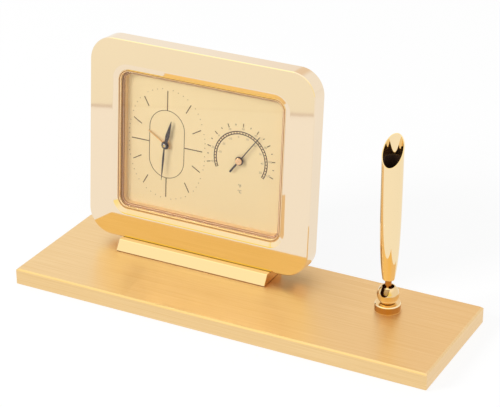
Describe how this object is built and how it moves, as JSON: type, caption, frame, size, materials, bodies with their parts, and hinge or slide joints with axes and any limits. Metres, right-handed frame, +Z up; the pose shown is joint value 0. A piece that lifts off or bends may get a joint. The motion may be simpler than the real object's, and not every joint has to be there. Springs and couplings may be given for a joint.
{
  "type": "desk alarm clock",
  "caption": "Leaning alarm clock and dial thermometer in a gold case on a flat base, with a swivelling, tilting pen funnel beside it.",
  "frame": {"origin": "middle of the felt underside, on the surface that the base stands on", "axes": "+X along the base towards the pen holder, -Y towards the viewer, +Z up"},
  "size_m": [0.25, 0.0897, 0.1335],
  "materials": {
    "brushed_gold": "gold anodised aluminium, brushed along its length",
    "polished_gold": "polished gold plating",
    "felt": "felt",
    "steel": "plated steel",
    "clear_glass": "clear mineral glass",
    "frame_gold": "gold coated moulding",
    "dial_gold": "matt champagne gold dial sheet",
    "black_plastic": "fine textured moulded ABS",
    "printing": "screen printed ink",
    "dark_hands": "dark lacquered sheet",
    "alarm_gold": "gold lacquered sheet",
    "rose_brass": "turned, satin",
    "brass": "turned",
    "bimetal": "rolled strip",
    "movement_plastic": "moulded",
    "white_plastic": "moulded acetal",
    "board_green": "solder resist",
    "bobbin_blue": "moulded",
    "copper": "enamelled wire",
    "magnet": "sintered",
    "red_plastic": "moulded",
    "battery_shell": "printed sleeve"
  },
  "bodies": {
    "base": {"base_plate": "brushed_gold", "felt_pad": "felt", "support_bar": "polished_gold", "case_screws": "steel", "front_case": "polished_gold", "window_bead": "polished_gold", "window_glass": "clear_glass", "dial_frame": "frame_gold", "dial_plate": "dial_gold", "dial_carrier": "black_plastic", "hour_marks": "printing", "thermo_scale": "printing", "bimetal_coil": "bimetal", "thermo_bracket": "steel", "movement_base": "movement_plastic", "movement_cover": "movement_plastic", "movement_screws": "steel", "circuit_board": "board_green", "quartz_crystal": "steel", "coil_bobbin": "bobbin_blue", "coil_winding": "copper", "stator": "steel", "alarm_contact": "bimetal", "switch_body": "black_plastic", "buzzer": "brass", "rear_cover": "black_plastic", "rear_screws": "steel", "battery": "battery_shell", "battery_contacts": "steel", "pen_disc": "polished_gold", "cup_washer": "white_plastic"},
    "motion": {"motion_wheel": "white_plastic", "time_knob": "black_plastic"},
    "minute": {"centre_arbor": "brass", "minute_hand": "dark_hands"},
    "hour": {"hour_wheel": "white_plastic", "hour_hand": "dark_hands"},
    "alarm_setting": {"alarm_pinion": "white_plastic", "alarm_knob": "black_plastic"},
    "alarm": {"alarm_wheel": "white_plastic", "alarm_hand": "alarm_gold"},
    "centre": {"centre_wheel": "brass"},
    "third": {"third_wheel": "brass"},
    "rotor_body": {"rotor": "magnet"},
    "thermometer": {"thermo_arbor": "brass", "thermo_cap": "rose_brass", "thermo_pointer": "dark_hands"},
    "switch": {"alarm_switch": "red_plastic"},
    "door": {"battery_door": "black_plastic"},
    "cup": {"swivel_cup": "polished_gold", "friction_pad": "white_plastic", "pen_screw": "steel", "spring_washer": "steel"},
    "pen": {"pen_ball": "polished_gold", "pen_funnel": "polished_gold", "pen_liner": "black_plastic"}
  },
  "joints": [
    {"name": "time_knob_turn", "type": "hinge", "parent": "base", "child": "motion", "pos_m": [-0.06175, 0.03101, 0.0645], "axis": [0, 0.9966, -0.0819], "continuous": true},
    {"name": "minute_turn", "type": "hinge", "parent": "base", "child": "minute", "pos_m": [-0.06175, 0.03179, 0.07407], "axis": [0, 0.9966, -0.0819], "continuous": true},
    {"name": "hour_turn", "type": "hinge", "parent": "base", "child": "hour", "pos_m": [-0.06175, 0.03179, 0.07407], "axis": [0, 0.9966, -0.0819], "continuous": true},
    {"name": "alarm_knob_turn", "type": "hinge", "parent": "base", "child": "alarm_setting", "pos_m": [-0.07214, 0.03228, 0.08005], "axis": [0, 0.9966, -0.0819], "continuous": true},
    {"name": "alarm_turn", "type": "hinge", "parent": "base", "child": "alarm", "pos_m": [-0.06175, 0.03179, 0.07407], "axis": [0, 0.9966, -0.0819], "continuous": true},
    {"name": "centre_turn", "type": "hinge", "parent": "base", "child": "centre", "pos_m": [-0.06175, 0.03179, 0.07407], "axis": [0, 0.9966, -0.0819], "continuous": true},
    {"name": "third_turn", "type": "hinge", "parent": "base", "child": "third", "pos_m": [-0.05725, 0.03243, 0.08184], "axis": [0, 0.9966, -0.0819], "continuous": true},
    {"name": "rotor_turn", "type": "hinge", "parent": "base", "child": "rotor_body", "pos_m": [-0.04926, 0.03219, 0.07894], "axis": [0, 0.9966, -0.0819], "continuous": true},
    {"name": "pointer_swing", "type": "hinge", "parent": "base", "child": "thermometer", "pos_m": [-0.01495, 0.03179, 0.07407], "axis": [0, 0.9966, -0.0819], "range_deg": [-139.6, 71.6]},
    {"name": "alarm_switch_slide", "type": "slide", "parent": "base", "child": "switch", "axis": [1, 0, 0], "range_m": [0, 0.004]},
    {"name": "battery_door_slide", "type": "slide", "parent": "base", "child": "door", "axis": [0, -0.0819, -0.9966], "range_m": [0, 0.015]},
    {"name": "cup_swivel", "type": "hinge", "parent": "base", "child": "cup", "pos_m": [0.0797, 0.0136, 0.0196], "axis": [0, 0, 1], "continuous": true},
    {"name": "pen_tilt", "type": "hinge", "parent": "cup", "child": "pen", "pos_m": [0.0797, 0.0136, 0.0196], "axis": [1, 0, 0], "range_deg": [0, 64]}
  ],
  "couplings": [
    {"joint": "minute_turn", "follows": "time_knob_turn", "ratio": -3},
    {"joint": "hour_turn", "follows": "time_knob_turn", "ratio": -0.25},
    {"joint": "alarm_turn", "follows": "alarm_knob_turn", "ratio": -0.5},
    {"joint": "third_turn", "follows": "centre_turn", "ratio": -8},
    {"joint": "rotor_turn", "follows": "centre_turn", "ratio": 60}
  ]
}
